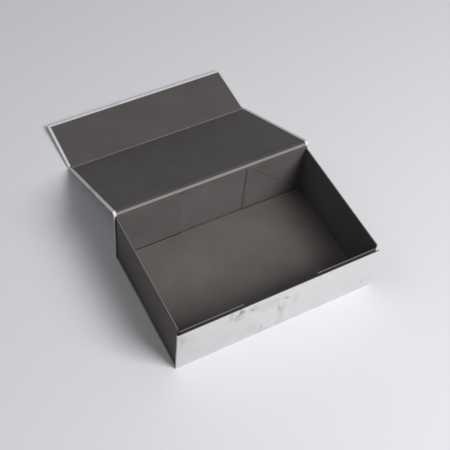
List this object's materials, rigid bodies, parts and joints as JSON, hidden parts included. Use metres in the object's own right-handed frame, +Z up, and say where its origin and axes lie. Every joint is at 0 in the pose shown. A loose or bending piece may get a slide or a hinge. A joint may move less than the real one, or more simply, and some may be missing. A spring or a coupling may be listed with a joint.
{
  "type": "gift box",
  "caption": "Rigid fold-flat gift box with a marbled paper case, dark lining, hinged lid and magnetic front flap; its walls fold flat on their creases.",
  "frame": {"origin": "middle of the underside of the base, on the surface that the box stands on", "axes": "+X to the right along the front wall, +Y from the front wall to the back where the lid hinges, +Z up"},
  "size_m": [0.23, 0.348, 0.0783],
  "materials": {
    "marble_paper": "satin marbled paper",
    "charcoal_paper": "matte dark grey paper",
    "hinge_paper": "matte light grey paper",
    "greyboard": "raw grey board",
    "magnet": "plated",
    "steel": "plated",
    "tape": "soft double-sided foam"
  },
  "bodies": {
    "base": {"base_board": "greyboard", "base_wrap": "marble_paper", "base_lining": "charcoal_paper", "front_hinge_paper": "charcoal_paper", "rear_hinge_paper": "charcoal_paper"},
    "front_wall": {"front_wall_board": "greyboard", "front_wall_wrap": "marble_paper", "front_wall_lining": "charcoal_paper", "front_wall_keeper_left": "steel", "front_wall_keeper_right": "steel", "front_tab_left_outer_paper": "charcoal_paper", "front_tab_left_card": "greyboard", "front_tab_left_inner_paper": "charcoal_paper", "front_tab_left_tape": "tape", "front_tab_right_outer_paper": "charcoal_paper", "front_tab_right_card": "greyboard", "front_tab_right_inner_paper": "charcoal_paper", "front_tab_right_tape": "tape"},
    "rear_wall": {"rear_wall_board": "greyboard", "rear_wall_wrap": "marble_paper", "rear_wall_lining": "charcoal_paper", "lid_hinge_paper": "hinge_paper", "gusset_panel_left_outer_paper": "charcoal_paper", "gusset_panel_left_card": "greyboard", "gusset_panel_left_inner_paper": "charcoal_paper", "gusset_panel_right_outer_paper": "charcoal_paper", "gusset_panel_right_card": "greyboard", "gusset_panel_right_inner_paper": "charcoal_paper"},
    "gusset_web_left": {"gusset_web_left_outer_paper": "charcoal_paper", "gusset_web_left_card": "greyboard", "gusset_web_left_inner_paper": "charcoal_paper"},
    "gusset_web_right": {"gusset_web_right_outer_paper": "charcoal_paper", "gusset_web_right_card": "greyboard", "gusset_web_right_inner_paper": "charcoal_paper"},
    "side_wall_left": {"side_wall_left_outer_paper": "charcoal_paper", "side_wall_left_card": "greyboard", "side_wall_left_inner_paper": "charcoal_paper"},
    "side_wall_right": {"side_wall_right_outer_paper": "charcoal_paper", "side_wall_right_card": "greyboard", "side_wall_right_inner_paper": "charcoal_paper"},
    "lid": {"lid_board": "greyboard", "lid_wrap": "marble_paper", "lid_lining": "charcoal_paper"},
    "flap": {"flap_board": "greyboard", "flap_wrap": "marble_paper", "flap_lining": "charcoal_paper", "flap_hinge_paper": "charcoal_paper", "flap_magnet_left": "magnet", "flap_magnet_right": "magnet"}
  },
  "joints": [
    {"name": "lid_hinge", "type": "hinge", "parent": "rear_wall", "child": "lid", "pos_m": [0, 0.0745, 0.077], "axis": [1, 0, 0], "range_deg": [0, 210.4]},
    {"name": "flap_hinge", "type": "hinge", "parent": "lid", "child": "flap", "pos_m": [0, 0.20561, 0], "axis": [1, 0, 0], "range_deg": [-33.4, 56.6]},
    {"name": "front_wall_fold", "type": "hinge", "parent": "base", "child": "front_wall", "pos_m": [0, -0.0745, 0], "axis": [1, 0, 0], "range_deg": [0, 90]},
    {"name": "rear_wall_fold", "type": "hinge", "parent": "base", "child": "rear_wall", "pos_m": [0, 0.0745, 0], "axis": [-1, 0, 0], "range_deg": [0, 90]},
    {"name": "gusset_web_left_fold", "type": "hinge", "parent": "rear_wall", "child": "gusset_web_left", "pos_m": [-0.1117, 0.07103, 0.00255], "axis": [0.7071, 0, 0.7071], "range_deg": [0, 180]},
    {"name": "gusset_web_right_fold", "type": "hinge", "parent": "rear_wall", "child": "gusset_web_right", "pos_m": [0.1117, 0.07103, 0.00255], "axis": [0.7071, 0, -0.7071], "range_deg": [0, 180]},
    {"name": "side_wall_left_fold", "type": "hinge", "parent": "base", "child": "side_wall_left", "pos_m": [-0.112, 0, 0.00255], "axis": [0, 1, 0], "range_deg": [0, 90]},
    {"name": "side_wall_right_fold", "type": "hinge", "parent": "base", "child": "side_wall_right", "pos_m": [0.112, 0, 0.00255], "axis": [0, -1, 0], "range_deg": [0, 90]}
  ],
  "couplings": [
    {"joint": "gusset_web_left_fold", "follows": "rear_wall_fold", "ratio": 2},
    {"joint": "gusset_web_right_fold", "follows": "rear_wall_fold", "ratio": 2},
    {"joint": "side_wall_right_fold", "follows": "side_wall_left_fold", "ratio": 1}
  ]
}
